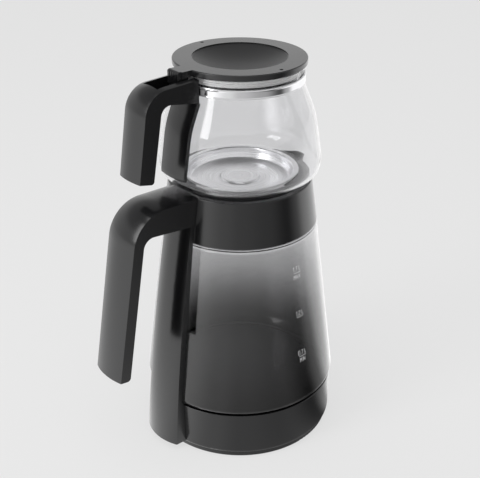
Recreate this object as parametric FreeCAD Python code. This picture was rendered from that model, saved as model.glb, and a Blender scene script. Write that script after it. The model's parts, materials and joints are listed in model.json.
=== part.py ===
import FreeCAD, Part
import math
import os

os.makedirs("parts", exist_ok=True)

V = FreeCAD.Vector
UP = V(0, 0, 1)
AXIS = V(0, 0, 0)

# Two-tier tea maker in millimetres. The origin is on the table, on the axis that kettle and teapot
# share. +Z is up. Both handles point towards -X, and the kettle's spout towards +X.

# Clearances
FIT = 0.15              # between fixed pieces of one body
FREE = 0.3              # between pieces that part when something moves
PIN_CLEARANCE = 0.06    # radial, hinge pin in the lid's knuckle

# Bottom band and foot
BAND_R = 78.4
BAND_TOP_Z = 42.3
BAND_T = 2.2
BAND_CORNER = 3.0
FOOT_STEP = 2.0
FOOT_R = BAND_R - FOOT_STEP
FOOT_LIP_H = 4.4
FOOT_RING_WIDTH = 6.0
BASE_FLOOR_Z = 2.6
BASE_FLOOR_T = 2.4

# Kettle glass
WALL = 2.6
GLASS_FOOT_GAP = 1.15
GLASS_FOOT_R = BAND_R - BAND_T - GLASS_FOOT_GAP
GLASS_FOOT_Z = 35.6
HEEL_PROUD = 1.6
HEEL_R = BAND_R + HEEL_PROUD
HEEL_Z = BAND_TOP_Z + FIT
HEEL_RISE = 1.2
HEEL_ROUND = 5.5
SHOULDER_R = 62.2
SHOULDER_Z = 185.4
SHOULDER_STEP = 1.3
NECK_R = 57.3
NECK_TOP_Z = 199.0

# Collar
COLLAR_LOW_R = 62.3
COLLAR_LOW_Z = 186.0
COLLAR_TOP_R = 57.4
COLLAR_TOP_Z = 222.7
COLLAR_T = 2.3
SEAT_OUTER_R = 50.5
MOUTH_R = 46.8
MOUTH_TUBE_T = 2.4
MOUTH_TUBE_Z = 203.0
SEAT_LEDGE_DROP = 2.2
COLLAR_ROOF_T = 2.4
SEAL_T = 2.4
SEAL_LEG_T = 1.6
SEAL_LEG_H = 4.0
SPOUT_REACH = 68.5
SPOUT_TIP_HALF = 4.5
SPOUT_FLARE = 0.66
SPOUT_ROOT_Z = 199.5
SPOUT_WALL = 2.2
GUTTER_Z = 209.5

# Spine behind the kettle handle
SPINE_LOW_Z = 6.5
SPINE_LOW_HALF = 20.5
SPINE_TOP_HALF = 16.0
SPINE_LOW_PROUD = 5.2
SPINE_MID_PROUD = 3.2
SPINE_TOP_PROUD = 0.9
SPINE_LOW_CROWN = 5.2
SPINE_TOP_CROWN = 3.4
SPINE_WALL = 2.4
SPINE_FLOOR = 3.0
SPINE_TOP_RISE = 6.0

# Kettle handle: reaches are distances from the axis towards -X
K_HALF = 17.0
K_CROWN = 3.0
K_ARM_TOP_Z = 222.6
K_ARM_LOW_Z = 199.4
K_ARM_RISE = 4.6
K_CORNER_REACH = 109.6
K_END_REACH = 132.8
K_END_Z = 88.0
K_OUTER_ROUND = 29.0
K_INNER_CORNER = 104.0
K_INNER_END = 124.0
K_INNER_ROUND = 9.0
GRIP_LEAN = 0.18
GRIP_FLOOR = 2.8
K_WALL = 2.6
K_SIDE = 3.4
K_LINER_T = 2.6
BRACKET_T = 2.0
BRACKET_HALF = 9.0
BRACKET_Z = 216.5
BRACKET_REACH = 97.0
BRACKET_TAB_H = 12.0
BRACKET_SCREW_Z = 209.2
BRACKET_SCREW_PITCH = 11.0
BOSS_R = 3.2

# Kettle base parts
PLATE_GAP = 2.6
PLATE_R = BAND_R - BAND_T - PLATE_GAP
PLATE_T = 1.0
FLOOR_GAP = 5.45
FLOOR_R = GLASS_FOOT_R - WALL - FLOOR_GAP
FLOOR_Z = 40.0
FLANGE_Z = 33.6
SPREADER_INSET = 7.0
SPREADER_R = FLOOR_R - SPREADER_INSET
SPREADER_T = 2.4
ELEMENT_INSET = 12.0
ELEMENT_R = SPREADER_R - ELEMENT_INSET
ELEMENT_TUBE_R = 3.6
ELEMENT_GAP_DEG = 34.0
TERMINAL_R = 2.2
TERMINAL_H = 14.0
CONTROL_LENGTH = 46.0
CONTROL_WIDTH = 34.0
CONTROL_TOP_Z = 33.5
SOCKET_OUTER_R = 21.0
SOCKET_R = 16.5
SOCKET_DEPTH = 13.0
SOCKET_TOP_Z = 19.0
CONTACT_RING_R = 11.0
SCREW_INSET = 9.0
SCREW_PCD_R = FLOOR_R - SCREW_INSET
COVER_BOSS_R = 4.4
COVER_BOSS_TOP_Z = 24.6
NUT_R = 4.0
SCREW_R = 1.5
SCREW_HEAD_R = 3.0
SCREW_HEAD_T = 1.8

# Teapot glass
POT_WALL = 2.2
POT_BOTTOM_Z = 224.8
POT_HOLE_R = 43.6
POT_NECK_R = 48.4
POT_NECK_Z = 300.0
POT_TOP_Z = 313.4
POT_WAIST_R = 58.7
POT_WAIST_Z = 274.5
POT_BELLY_R = 64.0
POT_BELLY_Z = 240.0
POT_HEEL_R = 62.8
POT_HEEL_ROUND = 11.5
POT_BELLY_ROUND = 20.0
POT_WAIST_ROUND = 70.0

# Teapot floor pan
PAN_T = 0.8
PAN_FLOOR_Z = 219.4
PAN_FLOOR_R = 39.8
PAN_FLANGE_R = 46.4
PAN_BOSS_R = 16.0
PAN_BOSS_RISE = 1.6
PAN_SEAL_T = 0.9

# Neck band
NECK_BAND_R = 49.7
NECK_BAND_LOW_Z = 299.6
NECK_BAND_H = 7.8
LUG_REACH = 55.8
LUG_HALF = 6.0
LUG_T = 1.2
LUG_SCREW_INSET = 3.2
LUG_SCREW_HEAD_R = 2.2
LUG_SCREW_HEAD_T = 1.2
LUG_SCREW_DEPTH = 4.0

# Teapot handle
T_HALF = 13.0
T_CROWN = 2.0
T_ROOT_REACH = 49.9
T_ARM_TOP_Z = 312.8
T_ARM_DROP = 2.4
T_CORNER_REACH = 93.4
T_END_REACH = 103.3
T_END_Z = 245.5
T_OUTER_ROUND = 20.0
T_ARM_LOW_Z = 295.4
T_INNER_CORNER = 81.2
T_INNER_CORNER_Z = 300.6
T_INNER_END = 91.2
T_INNER_END_Z = 242.6
T_INNER_ROUND = 8.0
T_WALL = 2.2
T_SIDE = 3.0
T_LINER_T = 2.2
SLOT_HALF = 8.8
SLOT_FLOOR_Z = 301.6
SLOT_END_REACH = 82.0
ARM_SOLID_INSET = 2.0

# Shield behind the teapot handle
SHIELD_HALF = 14.3
SHIELD_PROUD = 3.4
SHIELD_LOW_Z = 237.5

# Lid
LID_R = 51.3
LID_LOW_Z = 314.3
LID_T = 4.6
DISH_R = 36.4
DISH_DEPTH = 8.5
DISH_STEP = 0.9
DISH_WALL = 2.2
VENT_PCD_R = 46.8
VENT_R = 1.4
TAB_HALF = 7.0
TAB_REACH = 59.4
SKIRT_R = 44.2
SKIRT_T = 2.2
SKIRT_LOW_Z = 303.6
LIP_R = 45.5
LIP_COUNT = 3
LIP_PITCH = 1.9
LIP_LOW_Z = 308.1
HINGE_REACH = 57.4
HINGE_Z = 309.6
HINGE_PIN_R = 1.5
PIN_SEAT_DEPTH = 2.4
KNUCKLE_R = 3.8
KNUCKLE_HALF = 7.0
LEVER_HALF = 6.4
LEVER_FAR = 62.6
LEVER_RISE = 0.3
LEVER_DROP = 0.5
LEVER_RIBS = 5
RIB_DEPTH = 0.7


def rounded_edges(points, place, closed=True):
    """Edges through (a, b, corner radius) points, each corner rounded by its own radius."""
    flat = [V(p[0], p[1], 0) for p in points]
    radii = [p[2] if len(p) > 2 else 0.0 for p in points]
    count = len(points)
    corners = []
    for i in range(count):
        inner = closed or 0 < i < count - 1
        if radii[i] <= 0 or not inner:
            corners.append((flat[i], None, flat[i]))
            continue
        back = (flat[i - 1] - flat[i]).normalize()
        ahead = (flat[(i + 1) % count] - flat[i]).normalize()
        half = math.acos(max(-1.0, min(1.0, back.dot(ahead)))) / 2
        reach = radii[i] / math.tan(half)
        middle = (back + ahead).normalize() * (radii[i] / math.sin(half) - radii[i])
        corners.append((flat[i] + back * reach, flat[i] + middle, flat[i] + ahead * reach))
    edges = []
    for i in range(count):
        start, middle, end = corners[i]
        if middle is not None:
            edges.append(Part.Arc(place(start), place(middle), place(end)).toShape())
        if i == count - 1 and not closed:
            break
        following = corners[(i + 1) % count][0]
        if end.distanceToPoint(following) > 1e-6:
            edges.append(Part.LineSegment(place(end), place(following)).toShape())
    return edges


def section(p):
    """A section point (radius, height) in the plane that is turned round the axis."""
    return V(p.x, 0, p.y)


def turned(points):
    """Solid of revolution of a closed section of (radius, height, corner radius) points."""
    face = Part.Face(Part.Wire(rounded_edges(points, section)))
    return face.revolve(AXIS, UP, 360).removeSplitter()


def ring(inner, outer, low, high, corner=0.0):
    """Plain ring with its four edges rounded."""
    return turned([(inner, low, corner), (outer, low, corner), (outer, high, corner), (inner, high, corner)])


def side_plate(points, half_width, middle=0.0):
    """Side profile of (reach towards -X, height, corner radius) points, given a width along Y."""
    def place(p):
        return V(-p.x, middle - half_width, p.y)
    face = Part.Face(Part.Wire(rounded_edges(points, place)))
    return face.extrude(V(0, 2 * half_width, 0))


def rod(x, y, low, high, radius):
    """Upright round rod."""
    return Part.makeCylinder(radius, high - low, V(x, y, low))


def cross_rod(reach, z, half_length, radius):
    """Round rod along Y at a reach towards -X."""
    return Part.makeCylinder(radius, 2 * half_length, V(-reach, -half_length, z), V(0, 1, 0))


def reach_box(near, far, half, low, high):
    """Box between two reaches towards -X and two heights."""
    return Part.makeBox(far - near, 2 * half, high - low, V(-far, -half, low))


def slab(low, high):
    """Block wider than the whole part, between two heights."""
    return reach_box(-2 * K_END_REACH, 2 * K_END_REACH, 2 * K_END_REACH, low, high)


def only_solid(shape):
    """The largest solid of a shape, with faces that continue each other joined."""
    solids = sorted(shape.Solids, key=lambda s: s.Volume)
    return solids[-1].removeSplitter()


def shifted_bend(path, distance):
    """A three-point bend moved sideways, away from its own centre, with its corner radius grown."""
    start, corner, end = [V(p[0], p[1], 0) for p in path]
    first = (corner - start).normalize()
    second = (end - corner).normalize()
    first_out = V(-first.y, first.x, 0)
    second_out = V(-second.y, second.x, 0)
    corner_out = (first_out + second_out) * (1 / (1 + first_out.dot(second_out)))
    moved_start = start + first_out * distance
    moved_corner = corner + corner_out * distance
    moved_end = end + second_out * distance
    return [(moved_start.x, moved_start.y), (moved_corner.x, moved_corner.y, path[1][2] + distance),
            (moved_end.x, moved_end.y)]


def stretched(start, end, extra):
    """The end of a run, moved on past itself."""
    run = V(end[0] - start[0], end[1] - start[1], 0)
    on = run * (1 + extra / run.Length)
    return start[0] + on.x, start[1] + on.y


def crown_cutter(path, half_width, crown):
    """Sweeps the space above a crowned back along a bend and past its ends, to be cut from a handle."""
    def place(p):
        return V(-p.x, 0, p.y)
    past = half_width
    path = [stretched(path[1], path[0], past), path[1], stretched(path[1], path[2], past)]
    spine = Part.Wire(rounded_edges(path, place, closed=False))
    back_r = (half_width ** 2 + crown ** 2) / (2 * crown)
    wide = half_width + 1.5
    drop = back_r - math.sqrt(back_r ** 2 - wide ** 2)
    x = -path[0][0]
    z = path[0][1]
    left = V(x, -wide, z + crown - drop)
    right = V(x, wide, z + crown - drop)
    high_right = V(x, wide, z + crown + 5)
    high_left = V(x, -wide, z + crown + 5)
    outline = Part.Wire([Part.Arc(left, V(x, 0, z + crown), right).toShape(),
                         Part.LineSegment(right, high_right).toShape(),
                         Part.LineSegment(high_right, high_left).toShape(),
                         Part.LineSegment(high_left, left).toShape()])
    return spine.makePipeShell([outline], True, False)


# Kettle

def heel_outline(extra=0.0):
    """Outer side of the kettle glass from its foot to its shoulder."""
    return [(GLASS_FOOT_R, HEEL_Z - extra, 1), (HEEL_R + extra, HEEL_Z + HEEL_RISE, HEEL_ROUND),
            (SHOULDER_R + extra, SHOULDER_Z)]


def kettle_radius(z):
    """Outer radius of the kettle's glass wall at a height."""
    share = (z - HEEL_Z - HEEL_RISE) / (SHOULDER_Z - HEEL_Z - HEEL_RISE)
    return HEEL_R + (SHOULDER_R - HEEL_R) * share


def kettle_envelope(extra):
    """Solid of the kettle's body, that the spine and the handle are cut back from."""
    band = rod(0, 0, -1, BAND_TOP_Z + FIT + extra, BAND_R + extra)
    cone = turned([(0, BAND_TOP_Z)] + heel_outline(extra) + [
        (COLLAR_LOW_R + extra, COLLAR_LOW_Z), (COLLAR_TOP_R + extra, COLLAR_TOP_Z),
        (COLLAR_TOP_R + extra, COLLAR_TOP_Z + 10), (0, COLLAR_TOP_Z + 10)])
    return band.fuse(cone)


def make_kettle_glass():
    foot_r = GLASS_FOOT_R
    return turned([
        (foot_r, GLASS_FOOT_Z, 1)] + heel_outline()[:2] + [
        (SHOULDER_R, SHOULDER_Z, 1.2), (NECK_R, SHOULDER_Z + SHOULDER_STEP, 0.8), (NECK_R, NECK_TOP_Z, 1),
        (NECK_R - WALL, NECK_TOP_Z, 1), (NECK_R - WALL, SHOULDER_Z - 1.5, 2),
        (SHOULDER_R - WALL, SHOULDER_Z - 3, 3), (HEEL_R - WALL - 0.4, HEEL_Z + HEEL_RISE + 2, HEEL_ROUND - 1),
        (foot_r - WALL, HEEL_Z - 1, 1.5), (foot_r - WALL, GLASS_FOOT_Z, 1)])


def make_bottom_band():
    inner = BAND_R - BAND_T
    return turned([
        (BAND_R, FOOT_LIP_H, BAND_CORNER), (BAND_R, BAND_TOP_Z, 0.6), (inner, BAND_TOP_Z, 0.4),
        (inner, FOOT_LIP_H + BASE_FLOOR_T), (FOOT_R - FOOT_RING_WIDTH, FOOT_LIP_H + BASE_FLOOR_T, 0.5),
        (FOOT_R - FOOT_RING_WIDTH, FOOT_LIP_H)])


def screw_places():
    """Places of the three base screws."""
    for i in range(3):
        angle = math.radians(60 + 120 * i)
        yield SCREW_PCD_R * math.cos(angle), SCREW_PCD_R * math.sin(angle)


def make_base_cover():
    inner = FOOT_R - FOOT_RING_WIDTH
    floor_top = BASE_FLOOR_Z + BASE_FLOOR_T
    cover = turned([
        (SOCKET_OUTER_R + FIT, BASE_FLOOR_Z), (inner, BASE_FLOOR_Z, 0.8), (inner + 0.6, 0, 0.4),
        (FOOT_R, 0, 1.2), (FOOT_R, FOOT_LIP_H - FIT), (inner - FIT, FOOT_LIP_H - FIT),
        (inner - FIT, floor_top), (SOCKET_OUTER_R + FIT, floor_top)])
    for x, y in screw_places():
        cover = cover.fuse(rod(x, y, floor_top - 1, COVER_BOSS_TOP_Z, COVER_BOSS_R))
        cover = cover.cut(rod(x, y, BASE_FLOOR_Z - 1, FLANGE_Z, SCREW_R + FIT))
        cover = cover.cut(rod(x, y, BASE_FLOOR_Z - 1, BASE_FLOOR_Z + SCREW_HEAD_T, SCREW_HEAD_R + FIT))
    return cover.removeSplitter()


def make_base_screws():
    """Three screws from the cover up into the bosses under the floor plate."""
    screws = []
    for x, y in screw_places():
        head = rod(x, y, BASE_FLOOR_Z + FIT, BASE_FLOOR_Z + SCREW_HEAD_T, SCREW_HEAD_R)
        shank = rod(x, y, BASE_FLOOR_Z + SCREW_HEAD_T - 0.1, FLANGE_Z - 3, SCREW_R)
        slot = Part.makeBox(2 * SCREW_HEAD_R, 0.8, 0.8, V(x - SCREW_HEAD_R, y - 0.4, BASE_FLOOR_Z))
        screws.append(head.fuse(shank).cut(slot).removeSplitter())
    return Part.makeCompound(screws)


def make_floor_plate():
    """Pressed steel floor: a flange under the seal, a raised middle, and three nuts for the screws."""
    rise = FLOOR_Z - PLATE_T
    low = FLANGE_Z - PLATE_T
    plate = turned([
        (0, rise), (FLOOR_R - PLATE_T, rise, 2), (FLOOR_R, low, 2), (PLATE_R, low, 0.3),
        (PLATE_R, FLANGE_Z, 0.3), (FLOOR_R + 1.6, FLANGE_Z, 1.2), (FLOOR_R, FLOOR_Z, 3), (0, FLOOR_Z)])
    for x, y in screw_places():
        nut = rod(x, y, COVER_BOSS_TOP_Z + FIT, rise + PLATE_T / 2, NUT_R)
        nut = nut.cut(rod(x, y, 0, FLANGE_Z - 2.8, SCREW_R + FIT))
        plate = plate.fuse(nut)
    return plate.removeSplitter()


def make_base_seal():
    """Silicone ring that the foot of the glass stands on, with a lip up its inside."""
    outside = GLASS_FOOT_R + 0.8
    inside = GLASS_FOOT_R - WALL - FIT
    return turned([
        (inside - SEAL_LEG_T, FLANGE_Z + FIT, 0.3), (outside, FLANGE_Z + FIT, 0.3),
        (outside, GLASS_FOOT_Z - FIT), (inside, GLASS_FOOT_Z - FIT),
        (inside, GLASS_FOOT_Z + SEAL_LEG_H, 0.3), (inside - SEAL_LEG_T, GLASS_FOOT_Z + SEAL_LEG_H - 1.4, 0.3)])


def make_spreader():
    """Aluminium plate that takes the element's heat into the floor."""
    top = FLOOR_Z - PLATE_T - FIT
    disc = rod(0, 0, top - SPREADER_T, top, SPREADER_R)
    for x, y in screw_places():
        disc = disc.cut(rod(x, y, 0, FLOOR_Z, NUT_R + 2 * FREE))
    return disc.removeSplitter()


def make_element():
    """Tube element: most of a turn, with both ends turned down to their terminals."""
    top = FLOOR_Z - PLATE_T - FIT - SPREADER_T - FIT
    z = top - ELEMENT_TUBE_R
    gap = math.radians(ELEMENT_GAP_DEG / 2)
    start = V(ELEMENT_R * math.cos(gap), ELEMENT_R * math.sin(gap), z)
    end = V(ELEMENT_R * math.cos(gap), -ELEMENT_R * math.sin(gap), z)
    arc = Part.Arc(start, V(-ELEMENT_R, 0, z), end).toShape()
    tangent = V(-math.sin(gap), math.cos(gap), 0)
    circle = Part.Wire(Part.Circle(start, tangent, ELEMENT_TUBE_R).toShape())
    tube = Part.Wire(arc).makePipeShell([circle], True, True)
    for y in (start.y, end.y):
        tube = tube.fuse(Part.makeSphere(ELEMENT_TUBE_R, V(start.x, y, z)))
        tube = tube.fuse(rod(start.x, y, z - TERMINAL_H, z, TERMINAL_R))
    return tube.removeSplitter()


def make_control():
    """Thermal control block over the socket, with two round sensing discs against the spreader."""
    low = SOCKET_TOP_Z + FIT
    block = Part.makeBox(CONTROL_LENGTH, CONTROL_WIDTH, CONTROL_TOP_Z - low,
                         V(-CONTROL_LENGTH / 2, -CONTROL_WIDTH / 2, low))
    upright = [e for e in block.Edges if abs(e.Vertexes[0].X - e.Vertexes[-1].X) < 1e-6
               and abs(e.Vertexes[0].Y - e.Vertexes[-1].Y) < 1e-6]
    block = block.makeFillet(4, upright)
    disc_top = FLOOR_Z - PLATE_T - FIT - SPREADER_T - FIT
    for y in (-CONTROL_WIDTH / 4, CONTROL_WIDTH / 4):
        block = block.fuse(rod(0, y, CONTROL_TOP_Z - 1, disc_top, 6))
    return block.removeSplitter()


def make_probe():
    """Temperature probe: a small capsule clipped under the spreader."""
    top = FLOOR_Z - PLATE_T - FIT - SPREADER_T - FIT
    body = rod(-32, 0, top - 7, top, 4)
    tail = rod(-32, 0, top - 12, top - 6, 2)
    return body.fuse(tail).removeSplitter()


def make_socket():
    """Round connector socket, open downwards, carried by the base cover."""
    mouth_z = SOCKET_TOP_Z - 2.4 - SOCKET_DEPTH
    body = turned([
        (0, mouth_z + SOCKET_DEPTH), (SOCKET_R, mouth_z + SOCKET_DEPTH), (SOCKET_R, mouth_z, 0.5),
        (SOCKET_OUTER_R, mouth_z, 0.4), (SOCKET_OUTER_R, SOCKET_TOP_Z, 1), (0, SOCKET_TOP_Z)])
    flange_low = BASE_FLOOR_Z + BASE_FLOOR_T + FIT
    flange = ring(SOCKET_OUTER_R - 1, SOCKET_OUTER_R + 4, flange_low, flange_low + 2, 0.3)
    groove = ring(CONTACT_RING_R - 1, CONTACT_RING_R + 1, mouth_z + SOCKET_DEPTH - 1, SOCKET_TOP_Z - 0.8)
    centre = rod(0, 0, mouth_z + SOCKET_DEPTH - 1, SOCKET_TOP_Z - 0.8, 3)
    return body.fuse(flange).cut(groove).cut(centre).removeSplitter()


def make_contacts():
    """Brass ring and centre stud in the roof of the socket."""
    roof = SOCKET_TOP_Z - 2.4
    outer = ring(CONTACT_RING_R - 1 + FIT, CONTACT_RING_R + 1 - FIT, roof, SOCKET_TOP_Z - 0.8 - 0.1)
    centre = rod(0, 0, roof, SOCKET_TOP_Z - 0.8 - 0.1, 3 - FIT)
    return Part.makeCompound([outer, centre])


def bracket_screw_places():
    """Sideways places of the two bracket screws."""
    return -BRACKET_SCREW_PITCH / 2, BRACKET_SCREW_PITCH / 2


def outward_rod(near, far, y, radius):
    """Round rod along X between two reaches towards -X, at the height of the bracket screws."""
    return Part.makeCylinder(radius, far - near, V(-near, y, BRACKET_SCREW_Z), V(-1, 0, 0))


def collar_radius(z):
    """Outer radius of the collar's wall at a height."""
    share = (z - COLLAR_LOW_Z) / (COLLAR_TOP_Z - COLLAR_LOW_Z)
    return COLLAR_LOW_R + (COLLAR_TOP_R - COLLAR_LOW_R) * share


def spout_half(r, reach, inset):
    """Half width of the spout's wedge at a radius, drawn in by an inset."""
    return SPOUT_TIP_HALF + (reach - r) * SPOUT_FLARE - inset * math.sqrt(1 + SPOUT_FLARE ** 2)


def spout_outline(inset, root, z):
    """Plan of the spout at one height: a wedge with a round tip, drawn in by an inset."""
    low_reach = collar_radius(SPOUT_ROOT_Z) - 0.4
    share = (z - SPOUT_ROOT_Z) / (COLLAR_TOP_Z - SPOUT_ROOT_Z)
    reach = low_reach + (SPOUT_REACH - low_reach) * share
    tip = reach - inset
    near = spout_half(root, reach, inset)
    far = spout_half(tip, reach, inset)
    points = [(root, -near), (tip, -far, 0.9 * far), (tip, far, 0.9 * far), (root, near)]
    return Part.Wire(rounded_edges(points, lambda p: V(p.x, p.y, z)))


def spout_block(inset, root, low, high):
    """Solid between the spout's plans at two heights."""
    return Part.makeLoft([spout_outline(inset, root, low), spout_outline(inset, root, high)], True, True)


def make_gutter():
    """Open channel of the spout, from the mouth to the tip."""
    return spout_block(SPOUT_WALL, MOUTH_R - 5, GUTTER_Z, COLLAR_TOP_Z + 5)


def make_collar():
    """Tapered collar: outer wall, rim, seat ledge and mouth tube, with the spout on +X."""
    tube_outer = MOUTH_R + MOUTH_TUBE_T
    ledge_z = COLLAR_TOP_Z - SEAT_LEDGE_DROP
    roof_z = ledge_z - COLLAR_ROOF_T
    slope = (COLLAR_LOW_R - COLLAR_TOP_R) / (COLLAR_TOP_Z - COLLAR_LOW_Z)
    under_roof_r = COLLAR_TOP_R + slope * (COLLAR_TOP_Z - roof_z) - COLLAR_T
    neck_gap = NECK_R + FIT
    wall = turned([
        (COLLAR_LOW_R, COLLAR_LOW_Z, 0.5), (COLLAR_TOP_R, COLLAR_TOP_Z, 0.9), (SEAT_OUTER_R, COLLAR_TOP_Z, 0.4),
        (SEAT_OUTER_R, ledge_z), (MOUTH_R, ledge_z, 0.4), (MOUTH_R, MOUTH_TUBE_Z, 0.8),
        (tube_outer, MOUTH_TUBE_Z, 0.8), (tube_outer, roof_z, 1), (under_roof_r, roof_z, 1),
        (neck_gap, NECK_TOP_Z + 4), (neck_gap, COLLAR_LOW_Z + 1.4), (neck_gap + 1, COLLAR_LOW_Z + 0.7)])
    hollow = rod(0, 0, SPOUT_ROOT_Z - 1, COLLAR_TOP_Z + 1, under_roof_r + 1)
    beak = spout_block(0, MOUTH_R + 0.2, SPOUT_ROOT_Z, COLLAR_TOP_Z).cut(hollow)
    chute = spout_block(0, MOUTH_R + 0.2, GUTTER_Z - SPOUT_WALL, COLLAR_TOP_Z)
    seat_space = ring(MOUTH_R - 1, SEAT_OUTER_R, ledge_z, COLLAR_TOP_Z + 1)
    collar = wall.fuse([beak, chute]).cut(make_gutter()).cut(seat_space)
    wall_r = collar_radius(BRACKET_SCREW_Z)
    for y in bracket_screw_places():
        collar = collar.fuse(outward_rod(tube_outer - 0.3, wall_r - 0.5, y, BOSS_R))
        collar = collar.cut(outward_rod(tube_outer + 1.5, wall_r + 1, y, SCREW_R))
    return only_solid(collar)


def make_collar_seal():
    """Silicone ring between the glass neck, the collar and the mouth tube."""
    tube_outer = MOUTH_R + MOUTH_TUBE_T
    leg_r = NECK_R - WALL - FIT
    leg_low = NECK_TOP_Z - SEAL_LEG_H
    return turned([
        (tube_outer + FIT, NECK_TOP_Z + FIT, 0.3), (leg_r - SEAL_LEG_T, NECK_TOP_Z + FIT),
        (leg_r - SEAL_LEG_T + 0.2, leg_low, 0.3), (leg_r, leg_low, 0.3),
        (leg_r, NECK_TOP_Z + FIT), (NECK_R - 0.8, NECK_TOP_Z + FIT, 0.3),
        (NECK_R - 0.8, NECK_TOP_Z + FIT + SEAL_T, 0.5), (tube_outer + FIT, MOUTH_TUBE_Z + 1, 0.3)])


def make_seat_ring():
    """Silicone ring that the teapot stands on, open at the spout."""
    ledge_z = COLLAR_TOP_Z - SEAT_LEDGE_DROP
    seat = ring(MOUTH_R + 0.2, SEAT_OUTER_R - FIT, ledge_z, POT_BOTTOM_Z - FREE, 0.5)
    half = spout_half(MOUTH_R, SPOUT_REACH, SPOUT_WALL)
    gap = Part.makeBox(SEAT_OUTER_R, 2 * half, 10, V(SEAT_OUTER_R / 2, -half, ledge_z - 1))
    return only_solid(seat.cut(gap))


def crowned(z, half, reach, crown, root):
    """Plan outline of the spine at one height: flat sides and a crowned back."""
    left = V(-reach, -half, z)
    right = V(-reach, half, z)
    return Part.Wire([Part.Arc(left, V(-reach - crown, 0, z), right).toShape(),
                      Part.LineSegment(right, V(-root, half, z)).toShape(),
                      Part.LineSegment(V(-root, half, z), V(-root, -half, z)).toShape(),
                      Part.LineSegment(V(-root, -half, z), left).toShape()])


def spine_form(inset, low, high):
    """Tapered column of the spine, drawn in by an inset."""
    middle = (low + high) / 2
    reaches = (HEEL_R + SPINE_LOW_PROUD, kettle_radius(middle) + SPINE_MID_PROUD,
               collar_radius(high) + SPINE_TOP_PROUD)
    outlines = []
    for i in range(3):
        share = i / 2
        z = low + (high - low) * share
        half = SPINE_LOW_HALF + (SPINE_TOP_HALF - SPINE_LOW_HALF) * share
        crown = SPINE_LOW_CROWN + (SPINE_TOP_CROWN - SPINE_LOW_CROWN) * share
        outlines.append(crowned(z, half - inset, reaches[i] - inset, crown, MOUTH_R))
    return Part.makeLoft(outlines, True, False)


def make_spine():
    """Hollow cover strip from the foot to the arm, open towards the kettle's wall."""
    top = K_ARM_LOW_Z + SPINE_TOP_RISE
    body = spine_form(0, SPINE_LOW_Z, top)
    body = body.cut(kettle_envelope(FIT))
    body = body.cut(side_plate(kettle_handle_profile(), K_HALF + 2))
    body = only_solid(body)
    pocket = spine_form(SPINE_WALL, SPINE_LOW_Z, top).cut(slab(0, SPINE_LOW_Z + SPINE_FLOOR))
    pocket = pocket.cut(slab(K_ARM_LOW_Z - K_WALL, K_ARM_TOP_Z))
    return only_solid(body.cut(pocket))


def kettle_handle_back():
    """Outer bend of the kettle handle, at its side edges."""
    return [(45, K_ARM_TOP_Z), (K_CORNER_REACH, K_ARM_TOP_Z, K_OUTER_ROUND), (K_END_REACH, K_END_Z)]


def kettle_handle_front():
    """Inner bend of the kettle handle."""
    return [(45, K_ARM_LOW_Z), (K_INNER_CORNER, K_ARM_LOW_Z + K_ARM_RISE, K_INNER_ROUND),
            (K_INNER_END, K_END_Z - 1)]


def kettle_handle_profile():
    back = shifted_bend(kettle_handle_back(), K_CROWN + 1)
    front = kettle_handle_front()
    back[2] = back[2] + (1.5,)
    front[2] = front[2] + (3.0,)
    return back + front[::-1]


def raised(point, rise):
    """A handle's end point moved up along the grip, which leans outwards going down."""
    return point[0] - GRIP_LEAN * rise, point[1] + rise


def hollow_handle(profile, back, front, half, crown, wall, side, liner):
    """Crowned handle hollowed from its inner side, and the liner that closes it."""
    body = side_plate(profile, half).cut(crown_cutter(back, half, crown))
    deep = shifted_bend(back, -wall)
    beyond = shifted_bend(front, -wall)
    deep[2] = raised(deep[2], GRIP_FLOOR) + (1,)
    beyond[2] = raised(beyond[2], GRIP_FLOOR)
    pocket = side_plate(deep + beyond[::-1], half - side)
    inner_skin = shifted_bend(front, liner)
    outer_skin = list(front)
    inner_skin[2] = raised(inner_skin[2], GRIP_FLOOR + 2 * FIT)
    outer_skin[2] = raised(outer_skin[2], GRIP_FLOOR + 2 * FIT)
    cover = side_plate(inner_skin + outer_skin[::-1], half - side - FIT)
    return body.cut(pocket), cover


def kettle_handle_pieces():
    """Shell and liner of the kettle handle."""
    shell, liner = hollow_handle(kettle_handle_profile(), kettle_handle_back(), kettle_handle_front(),
                                 K_HALF, K_CROWN, K_WALL, K_SIDE, K_LINER_T)
    wall = kettle_envelope(FIT)
    shell = shell.cut(wall)
    liner = liner.cut(wall)
    return only_solid(shell), only_solid(liner)


def bracket_root():
    """Reach of the face where the bracket meets the collar's bosses."""
    return collar_radius(BRACKET_Z - BRACKET_TAB_H) + FIT


def make_bracket():
    """Bent steel strap: screwed to the collar, and lying along the inside of the arm."""
    root = bracket_root()
    low = BRACKET_Z - BRACKET_TAB_H
    strap = side_plate([(root, low), (root + BRACKET_T, low), (root + BRACKET_T, BRACKET_Z - BRACKET_T, 1.5),
                        (BRACKET_REACH, BRACKET_Z - BRACKET_T), (BRACKET_REACH, BRACKET_Z), (root, BRACKET_Z, 3)],
                       BRACKET_HALF)
    for y in bracket_screw_places():
        strap = strap.cut(outward_rod(root - 1, root + BRACKET_T + 1, y, SCREW_R + FIT))
    return strap.removeSplitter()


def make_bracket_screws():
    """Two screws through the strap into the collar's bosses."""
    head_face = bracket_root() + BRACKET_T + FIT
    screws = []
    for y in bracket_screw_places():
        head = outward_rod(head_face, head_face + SCREW_HEAD_T, y, SCREW_HEAD_R)
        shank = outward_rod(MOUTH_R + MOUTH_TUBE_T + 2, head_face + 0.2, y, SCREW_R)
        screws.append(head.fuse(shank).removeSplitter())
    return Part.makeCompound(screws)


# Teapot

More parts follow.
